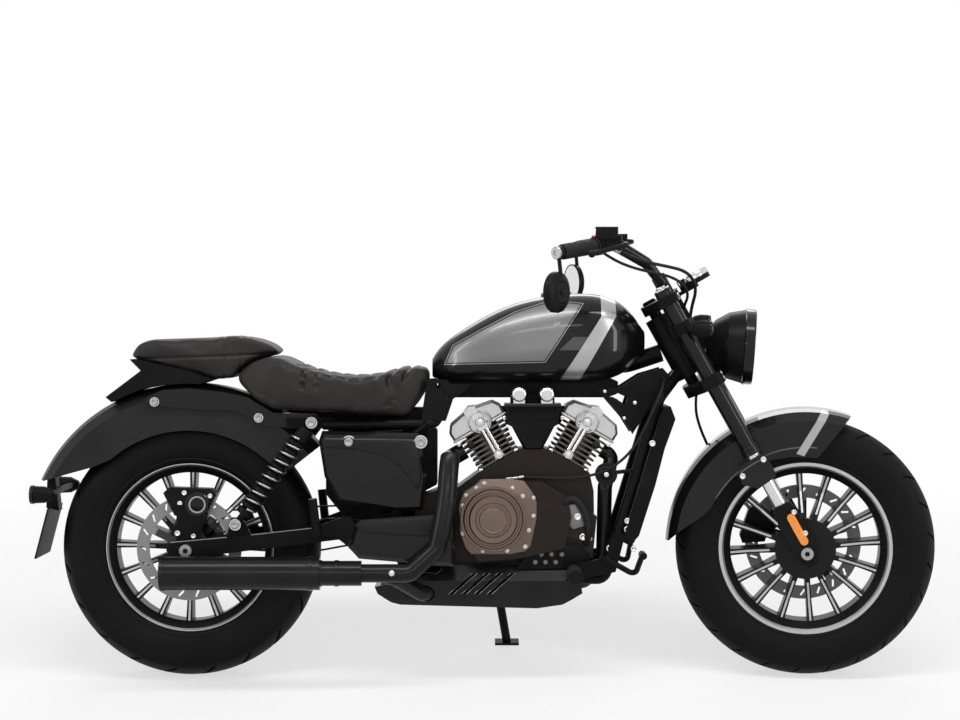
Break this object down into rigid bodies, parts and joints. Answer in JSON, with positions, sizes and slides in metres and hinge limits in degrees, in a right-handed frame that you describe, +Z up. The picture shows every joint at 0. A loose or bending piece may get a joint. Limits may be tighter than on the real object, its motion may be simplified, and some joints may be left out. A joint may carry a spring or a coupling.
{
  "type": "cruiser motorcycle",
  "caption": "Cruiser motorcycle leaning on its side stand, with turning wheels, steering and folding stand, an open engine and low fenders.",
  "frame": {"origin": "middle of the outline seen from above, on the road the bike stands on", "axes": "+X to the front of the bike, +Y to the rider's left, +Z up from the road"},
  "size_m": [2.221, 0.8948, 1.137],
  "materials": {
    "black_frame": "satin",
    "satin_black": "satin",
    "steel": "brushed",
    "engine_black": "satin",
    "bronze": "satin",
    "alloy": "satin",
    "chrome": "polished",
    "plastic_black": "matte",
    "gloss_black": "gloss",
    "leather": "satin",
    "rubber": "matte",
    "amber": "gloss",
    "lens": "clear",
    "tyre": "matte"
  },
  "bodies": {
    "chassis": {"frame": "black_frame", "swingarm": "satin_black", "rear_shocks": "satin_black", "rear_axle": "steel", "rear_caliper": "satin_black", "crankcase": "engine_black", "clutch_cover": "bronze", "generator_cover": "bronze", "cylinders": "bronze", "rocker_covers": "alloy", "pushrod_tubes": "chrome", "intake_box": "plastic_black", "intake_caps": "chrome", "radiator": "satin_black", "radiator_cowl": "plastic_black", "exhaust_headers": "satin_black", "muffler": "satin_black", "belly_pan": "satin_black", "fuel_tank": "gloss_black", "tank_cap": "chrome", "rider_seat": "leather", "pillion_seat": "leather", "rear_fender": "satin_black", "fender_struts": "gloss_black", "tail_piece": "plastic_black", "rear_indicators": "plastic_black", "side_covers": "gloss_black", "foot_controls": "satin_black", "drive_belt": "rubber", "clutch_cable": "rubber", "horn": "plastic_black", "water_hose": "rubber"},
    "steering": {"yokes": "satin_black", "fork_outer_tubes": "gloss_black", "fork_inner_tubes": "chrome", "fork_castings": "satin_black", "fork_reflectors": "amber", "front_axle": "steel", "front_fender": "gloss_black", "front_caliper": "satin_black", "headlamp": "satin_black", "headlamp_lens": "lens", "front_indicators": "plastic_black", "gauge": "plastic_black", "handlebar": "satin_black", "grips": "rubber", "hand_controls": "plastic_black", "levers": "satin_black", "mirrors": "satin_black", "brake_hose": "rubber", "caliper_hose": "rubber", "throttle_cables": "rubber"},
    "front_wheel": {"front_wheel": "satin_black", "front_tyre": "tyre", "front_disc": "steel"},
    "rear_wheel": {"rear_wheel": "satin_black", "rear_tyre": "tyre", "rear_disc": "steel", "rear_pulley": "satin_black"},
    "side_stand": {"side_stand": "satin_black"}
  },
  "joints": [
    {"name": "steering", "type": "hinge", "parent": "chassis", "child": "steering", "pos_m": [0.7526, -0.13101, 0.29597], "axis": [-0.4851, 0.1519, 0.8612], "range_deg": [-26, 38]},
    {"name": "front_wheel_spin", "type": "hinge", "parent": "steering", "child": "front_wheel", "pos_m": [0.79173, -0.13187, 0.31817], "axis": [0.0915, 0.9882, -0.1228], "continuous": true},
    {"name": "rear_wheel_spin", "type": "hinge", "parent": "chassis", "child": "rear_wheel", "pos_m": [-0.73305, -0.12722, 0.31696], "axis": [0.0001, 0.9848, -0.1736], "continuous": true},
    {"name": "side_stand_fold", "type": "hinge", "parent": "chassis", "child": "side_stand", "pos_m": [0.00946, 0.00787, 0.27714], "axis": [-0.0446, 0.9787, 0.2004], "range_deg": [0, 88]}
  ]
}
